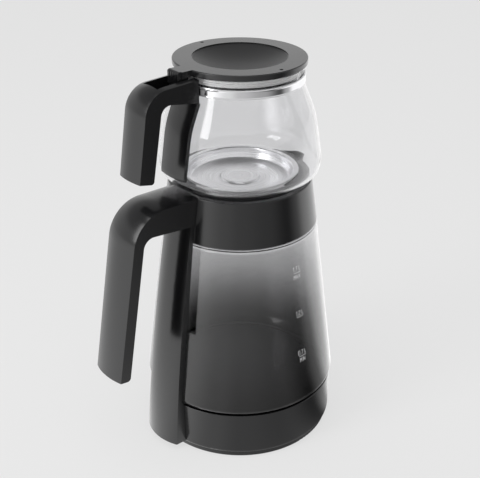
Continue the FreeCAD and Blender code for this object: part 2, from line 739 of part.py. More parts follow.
def pot_outline():
    """Outer side of the bell from the bottom up to the lip, with corner radii."""
    return [(POT_HEEL_R, POT_BOTTOM_Z, POT_HEEL_ROUND), (POT_BELLY_R, POT_BELLY_Z, POT_BELLY_ROUND),
            (POT_WAIST_R, POT_WAIST_Z, POT_WAIST_ROUND), (POT_NECK_R, POT_NECK_Z, 2.5), (POT_NECK_R, POT_TOP_Z, 1)]


def make_pot_glass():
    """Bell-shaped glass, open at the neck and with a round hole for the steel floor."""
    outer = pot_outline()
    inner = [(POT_NECK_R - POT_WALL, POT_TOP_Z, 1), (POT_NECK_R - POT_WALL, POT_NECK_Z - 0.5, 3),
             (POT_WAIST_R - POT_WALL - 0.1, POT_WAIST_Z - 0.6, POT_WAIST_ROUND - POT_WALL),
             (POT_BELLY_R - POT_WALL, POT_BELLY_Z, POT_BELLY_ROUND - POT_WALL),
             (POT_HEEL_R - POT_WALL, POT_BOTTOM_Z + POT_WALL, POT_HEEL_ROUND - POT_WALL),
             (POT_HOLE_R, POT_BOTTOM_Z + POT_WALL, 0.8)]
    return turned([(POT_HOLE_R, POT_BOTTOM_Z, 0.8)] + outer + inner)


def make_pan():
    """Polished steel floor: a flange over the seal, a sloping wall and a floor with a round boss."""
    flange_z = POT_BOTTOM_Z + POT_WALL + PAN_SEAL_T + FIT
    top = flange_z + PAN_T
    wall_r = POT_HOLE_R - PAN_SEAL_T
    floor = PAN_FLOOR_Z
    boss = floor + PAN_BOSS_RISE
    slope = 1.4
    return turned([
        (0, boss), (PAN_BOSS_R - slope, boss, 0.8), (PAN_BOSS_R, floor, 0.8), (PAN_FLOOR_R, floor, 2.2),
        (wall_r - 0.6, POT_BOTTOM_Z, 2), (wall_r, flange_z, 0.6), (PAN_FLANGE_R, flange_z, 0.2),
        (PAN_FLANGE_R, top, 0.2), (wall_r - PAN_T, top, 1.2), (wall_r - 0.6 - PAN_T, POT_BOTTOM_Z + 0.3, 1.5),
        (PAN_FLOOR_R - 0.3, floor + PAN_T, 1.6), (PAN_BOSS_R + 0.4, floor + PAN_T, 0.8),
        (PAN_BOSS_R - slope + 0.4, boss + PAN_T, 0.8), (0, boss + PAN_T)])


def make_pan_seal():
    """Silicone ring with one leg down through the hole and one under the pan's flange."""
    low = POT_BOTTOM_Z + 0.4
    bend = POT_BOTTOM_Z + POT_WALL
    inner = POT_HOLE_R - PAN_SEAL_T + FIT
    return turned([
        (inner, low), (POT_HOLE_R - FIT, low), (POT_HOLE_R - FIT, bend + FIT / 2),
        (PAN_FLANGE_R, bend + FIT / 2, 0.2), (PAN_FLANGE_R, bend + PAN_SEAL_T, 0.2), (inner, bend + PAN_SEAL_T)])


def lug_screw_x():
    """Place along X of the screw that holds the band's lug."""
    return LUG_SCREW_INSET - LUG_REACH


def make_neck_band():
    """Steel band round the lower half of the neck, with a rolled bead at its top and a lug for its screw."""
    low = NECK_BAND_LOW_Z + 0.9
    high = NECK_BAND_LOW_Z + NECK_BAND_H
    inner = POT_NECK_R + FIT
    band = turned([
        (inner + 0.5, low, 0.2), (NECK_BAND_R + 0.3, low, 0.3), (NECK_BAND_R, low + 1.2, 0.6),
        (NECK_BAND_R, high - 1.8, 0.6), (NECK_BAND_R + 0.4, high - 0.9, 0.4), (NECK_BAND_R + 0.2, high, 0.3),
        (inner, high, 0.3), (inner, low + 1.6, 0.4)])
    lug = Part.makeBox(LUG_REACH - NECK_BAND_R + 0.6, 2 * LUG_HALF, LUG_T,
                       V(-LUG_REACH, -LUG_HALF, SLOT_FLOOR_Z + FIT))
    lug = lug.cut(rod(lug_screw_x(), 0, SLOT_FLOOR_Z - 1, SLOT_FLOOR_Z + 5, SCREW_R + FIT))
    return band.fuse(lug).removeSplitter()


def make_band_screw():
    """Screw through the band's lug down into the floor of the arm."""
    x = lug_screw_x()
    under_head = SLOT_FLOOR_Z + FIT + LUG_T + FIT
    top = under_head + LUG_SCREW_HEAD_T
    head = rod(x, 0, under_head, top, LUG_SCREW_HEAD_R)
    shank = rod(x, 0, SLOT_FLOOR_Z - LUG_SCREW_DEPTH, under_head + 0.2, SCREW_R)
    slot = Part.makeBox(2 * LUG_SCREW_HEAD_R, 0.7, 0.8, V(x - LUG_SCREW_HEAD_R, -0.35, top - 0.5))
    return head.fuse(shank).cut(slot).removeSplitter()


def pot_handle_back():
    """Outer bend of the teapot handle, at its side edges."""
    return [(T_ROOT_REACH - 6, T_ARM_TOP_Z), (T_CORNER_REACH, T_ARM_TOP_Z - T_ARM_DROP, T_OUTER_ROUND),
            (T_END_REACH, T_END_Z)]


def pot_handle_front():
    """Inner bend of the teapot handle."""
    return [(T_ROOT_REACH - 6, T_ARM_LOW_Z - 1), (T_INNER_CORNER, T_INNER_CORNER_Z, T_INNER_ROUND),
            (T_INNER_END, T_INNER_END_Z)]


def pot_handle_profile():
    back = shifted_bend(pot_handle_back(), T_CROWN + 1)
    front = pot_handle_front()
    back[2] = back[2] + (1.2,)
    front[2] = front[2] + (2.4,)
    return back + front[::-1]


def pot_envelope(extra):
    """Solid of the bell and its band, that the handle and the shield are cut back from."""
    points = [(p[0] + extra,) + p[1:] for p in pot_outline()[:4]]
    return turned([(0, POT_BOTTOM_Z)] + points + [(POT_NECK_R + extra, POT_TOP_Z + 20), (0, POT_TOP_Z + 20)])


def pot_handle_pieces():
    """Shell of the teapot handle with the slot for the lid's hinge, and its liner."""
    shell, liner = hollow_handle(pot_handle_profile(), pot_handle_back(), pot_handle_front(),
                                 T_HALF, T_CROWN, T_WALL, T_SIDE, T_LINER_T)
    arm = side_plate(pot_handle_profile(), T_HALF).cut(crown_cutter(pot_handle_back(), T_HALF, T_CROWN))
    solid_reach = T_INNER_CORNER - ARM_SOLID_INSET
    arm = arm.common(reach_box(0, solid_reach, 2 * T_HALF, T_ARM_LOW_Z - T_HALF, T_ARM_TOP_Z + T_HALF))
    shell = shell.fuse(arm)
    liner_zone = reach_box(solid_reach, 2 * T_END_REACH, 2 * T_HALF, T_END_Z - T_HALF, T_ARM_TOP_Z)
    liner = liner.common(liner_zone).cut(arm)
    slot = side_plate([(T_ROOT_REACH - 10, SLOT_FLOOR_Z), (SLOT_END_REACH - 4, SLOT_FLOOR_Z, 2.5),
                       (SLOT_END_REACH, SLOT_FLOOR_Z + 9, 6), (SLOT_END_REACH + 2, T_ARM_TOP_Z + 12),
                       (T_ROOT_REACH - 10, T_ARM_TOP_Z + 12)], SLOT_HALF)
    shell = shell.cut(slot)
    root = turned([(0, T_ARM_LOW_Z - 20), (T_ROOT_REACH + 0.6, T_ARM_LOW_Z - 20),
                   (T_ROOT_REACH + 0.6, T_ARM_TOP_Z + 8), (0, T_ARM_TOP_Z + 8)])
    shell = shell.cut(root).cut(pot_envelope(0.4))
    shell = shell.cut(cross_rod(HINGE_REACH, HINGE_Z, SLOT_HALF + PIN_SEAT_DEPTH, HINGE_PIN_R))
    shell = shell.cut(rod(lug_screw_x(), 0, SLOT_FLOOR_Z - LUG_SCREW_DEPTH, SLOT_FLOOR_Z + 5, SCREW_R))
    return only_solid(shell), only_solid(liner)


def make_shield():
    """Strip that follows the bell behind the handle and keeps the fingers off the glass."""
    top = T_ARM_LOW_Z + 6
    band = pot_envelope(SHIELD_PROUD).cut(pot_envelope(0.4))
    window = reach_box(0, 2 * POT_BELLY_R, SHIELD_HALF, SHIELD_LOW_Z, top)
    strip = band.common(window)
    strip = strip.cut(side_plate(pot_handle_profile(), T_HALF + 3))
    strip = strip.cut(turned([(0, NECK_BAND_LOW_Z - 2), (NECK_BAND_R + 1, NECK_BAND_LOW_Z - 2),
                              (NECK_BAND_R + 1, POT_TOP_Z), (0, POT_TOP_Z)]))
    strip = only_solid(strip)
    low_edges = [e for e in strip.Edges if e.BoundBox.ZMax < SHIELD_LOW_Z + 0.1 and e.Length > 8]
    return strip.makeFillet(0.8, low_edges)


# Lid

def make_lid_plate():
    """Disc with a smooth dish, two vents, and a tab with the hinge knuckle under it."""
    top = LID_LOW_Z + LID_T
    bowl_depth = DISH_DEPTH - DISH_STEP
    bowl_r = (DISH_R ** 2 + bowl_depth ** 2) / (2 * bowl_depth)
    under_r = bowl_r + DISH_WALL
    centre_z = top - DISH_DEPTH + bowl_r
    disc = turned([(0, LID_LOW_Z), (LID_R, LID_LOW_Z, 0.8), (LID_R, top, 0.8), (0, top)])
    tab = side_plate([(LID_R - 6, LID_LOW_Z), (TAB_REACH, LID_LOW_Z), (TAB_REACH, top, 0.4), (LID_R - 6, top)],
                     TAB_HALF)
    low = top - DISH_DEPTH - 2 * DISH_WALL
    under = Part.makeSphere(under_r, V(0, 0, centre_z)).common(rod(0, 0, low, LID_LOW_Z + 1, DISH_R + DISH_WALL))
    knuckle = cross_rod(HINGE_REACH, HINGE_Z, KNUCKLE_HALF, KNUCKLE_R)
    web = reach_box(HINGE_REACH - KNUCKLE_R, TAB_REACH, KNUCKLE_HALF, HINGE_Z, LID_LOW_Z + 1)
    plate = disc.fuse([tab, under, knuckle, web])
    bowl = Part.makeSphere(bowl_r, V(0, 0, centre_z)).common(rod(0, 0, low, top + 1, DISH_R))
    plate = plate.cut(bowl)
    plate = plate.cut(cross_rod(HINGE_REACH, HINGE_Z, KNUCKLE_HALF + 1, HINGE_PIN_R + PIN_CLEARANCE))
    for side in (-1, 1):
        plate = plate.cut(rod(0, side * VENT_PCD_R, LID_LOW_Z - 1, top + 1, VENT_R))
    return only_solid(plate)


def make_lid_skirt():
    """Ring that hangs into the neck and carries the silicone lips."""
    return ring(SKIRT_R - SKIRT_T, SKIRT_R, SKIRT_LOW_Z, LID_LOW_Z, 0.6)


def make_lid_lips():
    """Silicone sleeve with fine lips that seal the neck."""
    inner = SKIRT_R + FIT
    points = [(inner, LIP_LOW_Z)]
    for i in range(LIP_COUNT):
        z = LIP_LOW_Z + i * LIP_PITCH
        points += [(LIP_R, z), (LIP_R, z + 0.7), (LIP_R - 0.9, z + 0.9), (LIP_R - 0.9, z + LIP_PITCH)]
    points.append((inner, LIP_LOW_Z + LIP_COUNT * LIP_PITCH))
    return turned(points)


def make_lever():
    """Thumb lever: a pad with upright ribs that wraps the end of the tab and the knuckle."""
    near = TAB_REACH + FIT
    low = HINGE_Z - LEVER_DROP
    top = LID_LOW_Z + LID_T + LEVER_RISE
    pitch = 2 * LEVER_HALF / LEVER_RIBS
    groove = pitch * 0.35
    points = [(-near, -LEVER_HALF)]
    for i in range(LEVER_RIBS):
        start = -LEVER_HALF + i * pitch
        end = start + pitch - groove
        points += [(-LEVER_FAR, start, 0.25), (-LEVER_FAR, end, 0.25)]
        if i < LEVER_RIBS - 1:
            points += [(-LEVER_FAR + RIB_DEPTH, end), (-LEVER_FAR + RIB_DEPTH, end + groove)]
    points[-1] = (-LEVER_FAR, LEVER_HALF, 0.25)
    points.append((-near, LEVER_HALF))
    plan = Part.Face(Part.Wire(rounded_edges(points, lambda p: V(p.x, p.y, low))))
    pad = plan.extrude(V(0, 0, top - low))
    slope = side_plate([(LEVER_FAR - 2, top + 0.1), (LEVER_FAR + 0.1, top - 1), (LEVER_FAR + 0.1, top + 0.1)],
                       LEVER_HALF + 1)
    wrapped = cross_rod(HINGE_REACH, HINGE_Z, LEVER_HALF + 1, KNUCKLE_R + FIT)
    return only_solid(pad.cut(slope).cut(wrapped))


def make_hinge_pin():
    """Steel pin through the lid's knuckle, with both ends seated in the walls of the slot."""
    return cross_rod(HINGE_REACH, HINGE_Z, SLOT_HALF + PIN_SEAT_DEPTH - FIT, HINGE_PIN_R)


def build():
    kettle_shell, kettle_liner = kettle_handle_pieces()
    pot_shell, pot_liner = pot_handle_pieces()
    return {
        "base_cover": make_base_cover(),
        "base_screws": make_base_screws(),
        "connector_socket": make_socket(),
        "connector_contacts": make_contacts(),
        "bottom_band": make_bottom_band(),
        "floor_plate": make_floor_plate(),
        "base_seal": make_base_seal(),
        "heat_spreader": make_spreader(),
        "heating_element": make_element(),
        "thermal_control": make_control(),
        "temperature_probe": make_probe(),
        "kettle_glass": make_kettle_glass(),
        "top_collar": make_collar(),
        "collar_seal": make_collar_seal(),
        "seat_ring": make_seat_ring(),
        "spine_cover": make_spine(),
        "kettle_handle_shell": kettle_shell,
        "kettle_handle_liner": kettle_liner,
        "handle_bracket": make_bracket(),
        "bracket_screws": make_bracket_screws(),
        "teapot_glass": make_pot_glass(),
        "teapot_floor_pan": make_pan(),
        "floor_pan_seal": make_pan_seal(),
        "neck_band": make_neck_band(),
        "neck_band_screw": make_band_screw(),
        "teapot_handle_shell": pot_shell,
        "teapot_handle_liner": pot_liner,
        "teapot_shield": make_shield(),
        "lid_hinge_pin": make_hinge_pin(),
        "lid_plate": make_lid_plate(),
        "lid_skirt": make_lid_skirt(),
        "lid_gasket": make_lid_lips(),
        "lid_lever": make_lever(),
    }


for node, shape in build().items():
    solids = len(shape.Solids)
    box = shape.BoundBox
    print(f"{node:22s} solids {solids}  valid {shape.isValid()}  volume {shape.Volume / 1000:8.2f} cm3  "
          f"z {box.ZMin:.1f} to {box.ZMax:.1f}  x {box.XMin:.1f} to {box.XMax:.1f}")
    shape.exportStep(f"parts/{node}.step")
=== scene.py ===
import json
import math

import bpy
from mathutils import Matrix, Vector


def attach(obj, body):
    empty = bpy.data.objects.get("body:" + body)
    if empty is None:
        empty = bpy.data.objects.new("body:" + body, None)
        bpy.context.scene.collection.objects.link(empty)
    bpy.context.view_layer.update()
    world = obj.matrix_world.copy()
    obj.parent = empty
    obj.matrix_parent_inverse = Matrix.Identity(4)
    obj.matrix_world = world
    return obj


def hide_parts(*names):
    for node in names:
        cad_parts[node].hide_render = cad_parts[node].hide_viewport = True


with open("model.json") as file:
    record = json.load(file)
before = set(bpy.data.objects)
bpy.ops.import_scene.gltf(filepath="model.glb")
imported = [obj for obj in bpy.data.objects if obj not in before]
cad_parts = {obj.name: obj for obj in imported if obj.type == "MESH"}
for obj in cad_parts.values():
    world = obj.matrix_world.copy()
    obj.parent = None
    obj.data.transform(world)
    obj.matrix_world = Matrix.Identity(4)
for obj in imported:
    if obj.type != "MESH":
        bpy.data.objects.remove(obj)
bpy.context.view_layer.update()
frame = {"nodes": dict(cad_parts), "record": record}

MM = 0.001

# Camera fitted to the photograph: distances in metres, angles in degrees.
CAMERA_AZIMUTH = -39.5
CAMERA_DISTANCE = 0.6937
CAMERA_HEIGHT = 0.5204
CAMERA_PITCH = 27.2
FOCAL_PX = 945.0
IMAGE_WIDTH_PX = 480.0

# Levels of the ground: its own grey, its soft glow, and what mirrors see of it.
BACKGROUND = 0.791
FLOOR_GLOW = 0.82
GLOW_SHARE = 0.8
MIRROR_LEVEL = 2.0

# Pairs of degrees round the axis from the camera's side and grey level, for the ground in mirrors.
MIRRORED = [(-180, 0.5), (-110, 0.55), (-55, 0.9), (-20, 0.55), (0, 0.4), (40, 0.27), (72, 0.05), (88, 0.3),
            (105, 0.8), (180, 0.6)]


# Geometry helpers

def rounded(points, step=8):
    """Closed section of (radius, height, corner radius) points in mm, corners sampled as arcs."""
    out = []
    count = len(points)
    for i in range(count):
        here = Vector(points[i][:2])
        radius = points[i][2] if len(points[i]) > 2 else 0.0
        if radius <= 0:
            out.append(here)
            continue
        back = (Vector(points[i - 1][:2]) - here).normalized()
        ahead = (Vector(points[(i + 1) % count][:2]) - here).normalized()
        half = math.acos(max(-1.0, min(1.0, back.dot(ahead)))) / 2
        reach = radius / math.tan(half)
        centre = here + (back + ahead).normalized() * (radius / math.sin(half))
        first = here + back * reach - centre
        last = here + ahead * reach - centre
        turn = math.atan2(first.x * last.y - first.y * last.x, first.dot(last))
        pieces = max(3, int(abs(turn) / math.radians(step)))
        for k in range(pieces + 1):
            angle = turn * k / pieces
            cos, sin = math.cos(angle), math.sin(angle)
            out.append(centre + Vector((first.x * cos - first.y * sin, first.x * sin + first.y * cos)))
    return out


def finish_mesh(obj, angle=35):
    """Smooth shading, with edges sharper than an angle kept crisp."""
    mesh = obj.data
    mesh.polygons.foreach_set("use_smooth", [True] * len(mesh.polygons))
    mesh.set_sharp_from_angle(angle=math.radians(angle))
    return obj


def new_object(name, verts, faces, material=None):
    mesh = bpy.data.meshes.new(name)
    mesh.from_pydata([tuple(v) for v in verts], [], faces)
    mesh.update()
    obj = bpy.data.objects.new(name, mesh)
    bpy.context.scene.collection.objects.link(obj)
    if material:
        mesh.materials.append(material)
    return obj


def lathe(name, points, material, segments=192):
    """Closed section in mm turned round the upright axis."""
    section = rounded(points)
    verts, faces = [], []
    rows = len(section)
    for s in range(segments):
        angle = 2 * math.pi * s / segments
        for p in section:
            verts.append((p.x * MM * math.cos(angle), p.x * MM * math.sin(angle), p.y * MM))
    for s in range(segments):
        t = (s + 1) % segments
        for k in range(rows):
            n = (k + 1) % rows
            faces.append((s * rows + k, t * rows + k, t * rows + n, s * rows + n))
    return finish_mesh(new_object(name, verts, faces, material))


# Materials

def material(name):
    mat = bpy.data.materials.new(name)
    mat.use_nodes = True
    nodes = mat.node_tree.nodes
    return mat, nodes, mat.node_tree.links, nodes["Principled BSDF"]


def coordinates(nodes, links, scale):
    coords = nodes.new("ShaderNodeTexCoord")
    mapping = nodes.new("ShaderNodeMapping")
    mapping.inputs["Scale"].default_value = scale
    links.new(coords.outputs["Object"], mapping.inputs["Vector"])
    return mapping.outputs["Vector"]


def noise(nodes, links, vector, scale, detail=3.0):
    tex = nodes.new("ShaderNodeTexNoise")
    tex.inputs["Scale"].default_value = scale
    tex.inputs["Detail"].default_value = detail
    links.new(vector, tex.inputs["Vector"])
    return tex.outputs["Fac"]


def ranged(nodes, links, value, low, high, from_low=0.3, from_high=0.7):
    node = nodes.new("ShaderNodeMapRange")
    node.inputs["From Min"].default_value = from_low
    node.inputs["From Max"].default_value = from_high
    node.inputs["To Min"].default_value = low
    node.inputs["To Max"].default_value = high
    links.new(value, node.inputs["Value"])
    return node.outputs["Result"]


def bump(nodes, links, height, strength, distance, shader):
    node = nodes.new("ShaderNodeBump")
    node.inputs["Strength"].default_value = strength
    node.inputs["Distance"].default_value = distance
    links.new(height, node.inputs["Height"])
    links.new(node.outputs["Normal"], shader.inputs["Normal"])


def plastic(name, color, rough, spread=0.05, grain=0.08):
    """Moulded plastic: slight sheen changes and a faint moulded surface."""
    mat, nodes, links, shader = material(name)
    vector = coordinates(nodes, links, (1, 1, 1))
    wide = noise(nodes, links, vector, 18, 4)
    links.new(ranged(nodes, links, wide, rough - spread / 2, rough + spread / 2), shader.inputs["Roughness"])
    tint = nodes.new("ShaderNodeMix")
    tint.data_type = "RGBA"
    tint.inputs["A"].default_value = (*[c * 0.85 for c in color], 1)
    tint.inputs["B"].default_value = (*[c * 1.15 for c in color], 1)
    links.new(wide, tint.inputs["Factor"])
    links.new(tint.outputs["Result"], shader.inputs["Base Color"])
    fine = noise(nodes, links, vector, 900, 2)
    bump(nodes, links, fine, grain, 0.00005, shader)
    shader.inputs["IOR"].default_value = 1.5
    return mat


def turned_place(nodes, links, pitch):
    """Coordinates that follow turned lines: distance from the axis and height, in line pitches."""
    coords = nodes.new("ShaderNodeTexCoord")
    split = nodes.new("ShaderNodeSeparateXYZ")
    links.new(coords.outputs["Object"], split.inputs["Vector"])
    flat = nodes.new("ShaderNodeCombineXYZ")
    links.new(split.outputs["X"], flat.inputs["X"])
    links.new(split.outputs["Y"], flat.inputs["Y"])
    length = nodes.new("ShaderNodeVectorMath")
    length.operation = "LENGTH"
    links.new(flat.outputs["Vector"], length.inputs[0])
    both = nodes.new("ShaderNodeCombineXYZ")
    links.new(length.outputs["Value"], both.inputs["X"])
    links.new(split.outputs["Z"], both.inputs["Z"])
    scale = nodes.new("ShaderNodeVectorMath")
    scale.operation = "SCALE"
    scale.inputs["Scale"].default_value = 1.0 / (pitch * MM)
    links.new(both.outputs["Vector"], scale.inputs[0])
    return scale.outputs["Vector"], length.outputs["Value"]


def metal(name, color, rough, pitch=0.5, strength=0.04):
    """Bright metal with fine turned lines."""
    mat, nodes, links, shader = material(name)
    vector, _ = turned_place(nodes, links, pitch)
    fine = noise(nodes, links, vector, 1.0, 3)
    shader.inputs["Metallic"].default_value = 1.0
    links.new(ranged(nodes, links, fine, rough * 0.75, rough * 1.3), shader.inputs["Roughness"])
    tint = nodes.new("ShaderNodeMix")
    tint.data_type = "RGBA"
    tint.inputs["A"].default_value = (*[c * 0.94 for c in color], 1)
    tint.inputs["B"].default_value = (*color, 1)
    links.new(fine, tint.inputs["Factor"])
    links.new(tint.outputs["Result"], shader.inputs["Base Color"])
    bump(nodes, links, fine, strength, 0.00003, shader)
    return mat


def lid_plastic(name, color):
    """Satin black on the flat rim, and a duller dish inside it."""
    mat, nodes, links, shader = material(name)
    vector = coordinates(nodes, links, (1, 1, 1))
    _, radius = turned_place(nodes, links, 1.0)
    inside = ranged(nodes, links, radius, 1.0, 0.0, 0.0355, 0.0368)
    wide = noise(nodes, links, vector, 25, 3)
    sheen = nodes.new("ShaderNodeMix")
    sheen.data_type = "FLOAT"
    links.new(inside, sheen.inputs[0])
    links.new(ranged(nodes, links, wide, 0.17, 0.21), sheen.inputs[2])
    links.new(ranged(nodes, links, wide, 0.42, 0.46), sheen.inputs[3])
    links.new(sheen.outputs[0], shader.inputs["Roughness"])
    tint = nodes.new("ShaderNodeMix")
    tint.data_type = "RGBA"
    tint.inputs["A"].default_value = (*[c * 0.85 for c in color], 1)
    tint.inputs["B"].default_value = (*[c * 1.15 for c in color], 1)
    links.new(wide, tint.inputs["Factor"])
    links.new(tint.outputs["Result"], shader.inputs["Base Color"])
    bump(nodes, links, noise(nodes, links, vector, 1100, 2), 0.05, 0.00003, shader)
    return mat


def glass(name, stops):
    """Clear or smoked glass. Stops are (height in mm, clearness of one surface) pairs."""
    mat, nodes, links, shader = material(name)
    out = nodes["Material Output"]
    coords = nodes.new("ShaderNodeTexCoord")
    split = nodes.new("ShaderNodeSeparateXYZ")
    links.new(coords.outputs["Object"], split.inputs["Vector"])
    low = stops[0][0]
    high = stops[-1][0]
    place = ranged(nodes, links, split.outputs["Z"], 0, 1, low * MM, high * MM)
    ramp = nodes.new("ShaderNodeValToRGB")
    ramp.color_ramp.interpolation = "B_SPLINE" if len(stops) > 2 else "LINEAR"
    elements = ramp.color_ramp.elements
    while len(elements) < len(stops):
        elements.new(0.5)
    for element, (height, clear) in zip(elements, stops):
        element.position = (height - low) / (high - low)
        element.color = (clear, clear, clear * 1.01, 1)
    links.new(place, ramp.inputs["Fac"])
    shader.inputs["Transmission Weight"].default_value = 1.0
    shader.inputs["Roughness"].default_value = 0.0
    shader.inputs["IOR"].default_value = 1.5
    links.new(ramp.outputs["Color"], shader.inputs["Base Color"])
    path = nodes.new("ShaderNodeLightPath")
    through = nodes.new("ShaderNodeBsdfTransparent")
    links.new(ramp.outputs["Color"], through.inputs["Color"])
    mix = nodes.new("ShaderNodeMixShader")
    links.new(path.outputs["Is Shadow Ray"], mix.inputs["Fac"])
    links.new(shader.outputs["BSDF"], mix.inputs[1])
    links.new(through.outputs["BSDF"], mix.inputs[2])
    links.new(mix.outputs["Shader"], out.inputs["Surface"])
    return mat


black = plastic("moulded_black", (0.006, 0.006, 0.0065), 0.19, 0.03, 0.05)
lid_black = lid_plastic("lid_black", (0.008, 0.008, 0.0085))
dark_rubber = plastic("dark_silicone", (0.02, 0.02, 0.02), 0.55, 0.1, 0.2)
light_rubber = plastic("light_silicone", (0.9, 0.9, 0.89), 0.4, 0.1, 0.12)
print_grey = plastic("level_print", (0.75, 0.75, 0.76), 0.5, 0.1, 0.1)
steel = metal("polished_steel", (0.62, 0.62, 0.63), 0.1)
satin_steel = metal("floor_dish_steel", (0.93, 0.93, 0.94), 0.3)
plain_steel = metal("plain_steel", (0.5, 0.5, 0.51), 0.28)
# Painted shade: the kettle's floor plate gets a steel darkened well below the plain steel, standing in for
# the shade inside the kettle.
floor_painted_shade_steel = metal("kettle_floor_painted_shade_steel", (0.2, 0.2, 0.21), 0.22)
aluminium = metal("aluminium", (0.72, 0.72, 0.74), 0.35)
brass = metal("brass", (0.72, 0.55, 0.25), 0.25)
smoked = glass("smoked_glass", [
    (44, 0.01), (54, 0.03), (65, 0.08), (78, 0.16), (91, 0.27), (103, 0.38), (126, 0.5), (145, 0.62),
    (173, 0.79), (186, 0.86)])
clear = glass("clear_glass", [(224, 0.86), (314, 0.88)])

FINISH = {
    "black_plastic": black, "smoked_glass": smoked, "clear_glass": clear, "polished_steel": steel,
    "steel": plain_steel, "aluminium": aluminium, "brass": brass, "dark_silicone": dark_rubber,
    "light_silicone": light_rubber,
}
slot_of = {s["node"]: s["material_slot"] for s in frame["record"]["subparts"]}
for node, obj in frame["nodes"].items():
    finish = FINISH[slot_of[node]]
    if node in ("lid_plate", "lid_lever"):
        finish = lid_black
    # Painted shade: the floor plate takes the darkened steel.
    if node == "floor_plate":
        finish = floor_painted_shade_steel
    if node == "teapot_floor_pan":
        finish = satin_steel
    obj.data.materials.clear()
    obj.data.materials.append(finish)


# Fine glass in place of the coarser solids: radius, height and corner radius in mm

CONE_LOW_R, CONE_LOW_Z = 80.0, 43.65
CONE_TOP_R, CONE_TOP_Z = 62.2, 185.4

kettle_glass = lathe("kettle_glass_fine", [
    (75.05, 35.6, 1), (75.05, 42.45, 1), (CONE_LOW_R, CONE_LOW_Z, 5.5), (CONE_TOP_R, CONE_TOP_Z, 1.2),
    (57.3, 186.7, 0.8), (57.3, 199.0, 1), (54.7, 199.0, 1), (54.7, 183.9, 2), (59.6, 182.4, 3),
    (77.0, 45.65, 4.5),
    (72.45, 41.45, 1.5), (72.45, 35.6, 1)], smoked)
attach(kettle_glass, "kettle")
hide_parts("kettle_glass")

teapot_glass = lathe("teapot_glass_fine", [
    (43.6, 224.8, 0.8), (62.8, 224.8, 11.5), (64.0, 240.0, 20), (58.7, 274.5, 70), (48.4, 300.0, 2.5),
    (48.4, 313.4, 1), (46.2, 313.4, 1), (46.2, 299.5, 3), (56.4, 273.9, 67.8), (61.8, 240.0, 17.8),
    (60.6, 227.0, 9.3), (43.6, 227.0, 0.8)], clear)
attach(teapot_glass, "teapot")
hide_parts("teapot_glass")


# Printed level marks: strokes on a grid 2 wide and 4 high, and each sign's advance on it

STROKES = {
    "0": [[(0, 0), (2, 0), (2, 4), (0, 4), (0, 0)]],
    "1": [[(0.3, 3.2), (1.2, 4), (1.2, 0)]],
    "2": [[(0, 3.4), (0.6, 4), (1.5, 4), (2, 3.3), (2, 2.6), (0, 0), (2, 0)]],
    "7": [[(0, 4), (2, 4), (0.8, 0)]],
    ".": [[(0.5, 0), (0.5, 0.45)]],
    "L": [[(0, 4), (0, 0), (1.7, 0)]],
    "M": [[(0, 0), (0, 4), (1, 1.8), (2, 4), (2, 0)]],
    "A": [[(0, 0), (1, 4), (2, 0)], [(0.4, 1.4), (1.6, 1.4)]],
    "X": [[(0, 0), (2, 4)], [(0, 4), (2, 0)]],
    "I": [[(0.6, 0), (0.6, 4)]],
    "N": [[(0, 0), (0, 4), (2, 0), (2, 4)]],
    " ": [],
}
ADVANCE = {".": 1.1, "I": 1.5, " ": 1.4, "1": 2.2, "L": 2.5}
WIDE_ADVANCE = 2.9
LINE_MM = 0.36
LINE_HALF_MM = 3.6
TEXT_SIZE_MM = 0.86
TEXT_STROKE = 0.8
TEXT_ABOVE_MM = 1.7
TEXT_BELOW_MM = 5.0

# Degrees from the +X axis: 43 to the right of the side that faces the camera.
MARK_ANGLE = CAMERA_AZIMUTH - 90.0 + 43.0


def cone_point(along, z, proud=0.06):
    """A point just outside the kettle's wall, at an arc length from the marks' middle."""
    share = (z - CONE_LOW_Z) / (CONE_TOP_Z - CONE_LOW_Z)
    radius = CONE_LOW_R + (CONE_TOP_R - CONE_LOW_R) * share
    angle = math.radians(MARK_ANGLE) + along / radius
    return Vector(((radius + proud) * math.cos(angle), (radius + proud) * math.sin(angle), z)) * MM


def stroke_mesh(verts, faces, points, width):
    for (ax, az), (bx, bz) in zip(points, points[1:]):
        run = Vector((bx - ax, bz - az))
        pieces = max(1, int(run.length / 1.5))
        side = Vector((-run.y, run.x)).normalized() * (width / 2)
        end = run.normalized() * (width / 2)
        for k in range(pieces):
            p = Vector((ax, az)) + run * (k / pieces) - (end if k == 0 else Vector((0, 0)))
            q = Vector((ax, az)) + run * ((k + 1) / pieces) + (end if k == pieces - 1 else Vector((0, 0)))
            base = len(verts)
            for c in (p - side, q - side, q + side, p + side):
                verts.append(cone_point(c.x, c.y))
            faces.append((base, base + 1, base + 2, base + 3))


def level_mark(name, z, label, extra=None):
    """A printed line with its volume above it and, at the ends of the scale, a word below it."""
    verts, faces = [], []
    stroke_mesh(verts, faces, [(-LINE_HALF_MM, z), (LINE_HALF_MM, z)], LINE_MM)
    for text, low in ((label, z + TEXT_ABOVE_MM), (extra, z - TEXT_BELOW_MM)):
        if not text:
            continue
        size = TEXT_SIZE_MM
        width = sum(ADVANCE.get(c, WIDE_ADVANCE) for c in text) * size
        x = -width / 2
        for c in text:
            for points in STROKES[c]:
                placed = [(x + px * size, low + pz * size) for px, pz in points]
                stroke_mesh(verts, faces, placed, LINE_MM * TEXT_STROKE)
            x += ADVANCE.get(c, WIDE_ADVANCE) * size
    mark = new_object(name, verts, faces, print_grey)
    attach(mark, "kettle")


level_mark("level_high", 159, "1.7 L", "MAX")
level_mark("level_middle", 121, "1.2 L")
level_mark("level_low", 86, "0.7 L", "MIN")


# Floor, light and camera

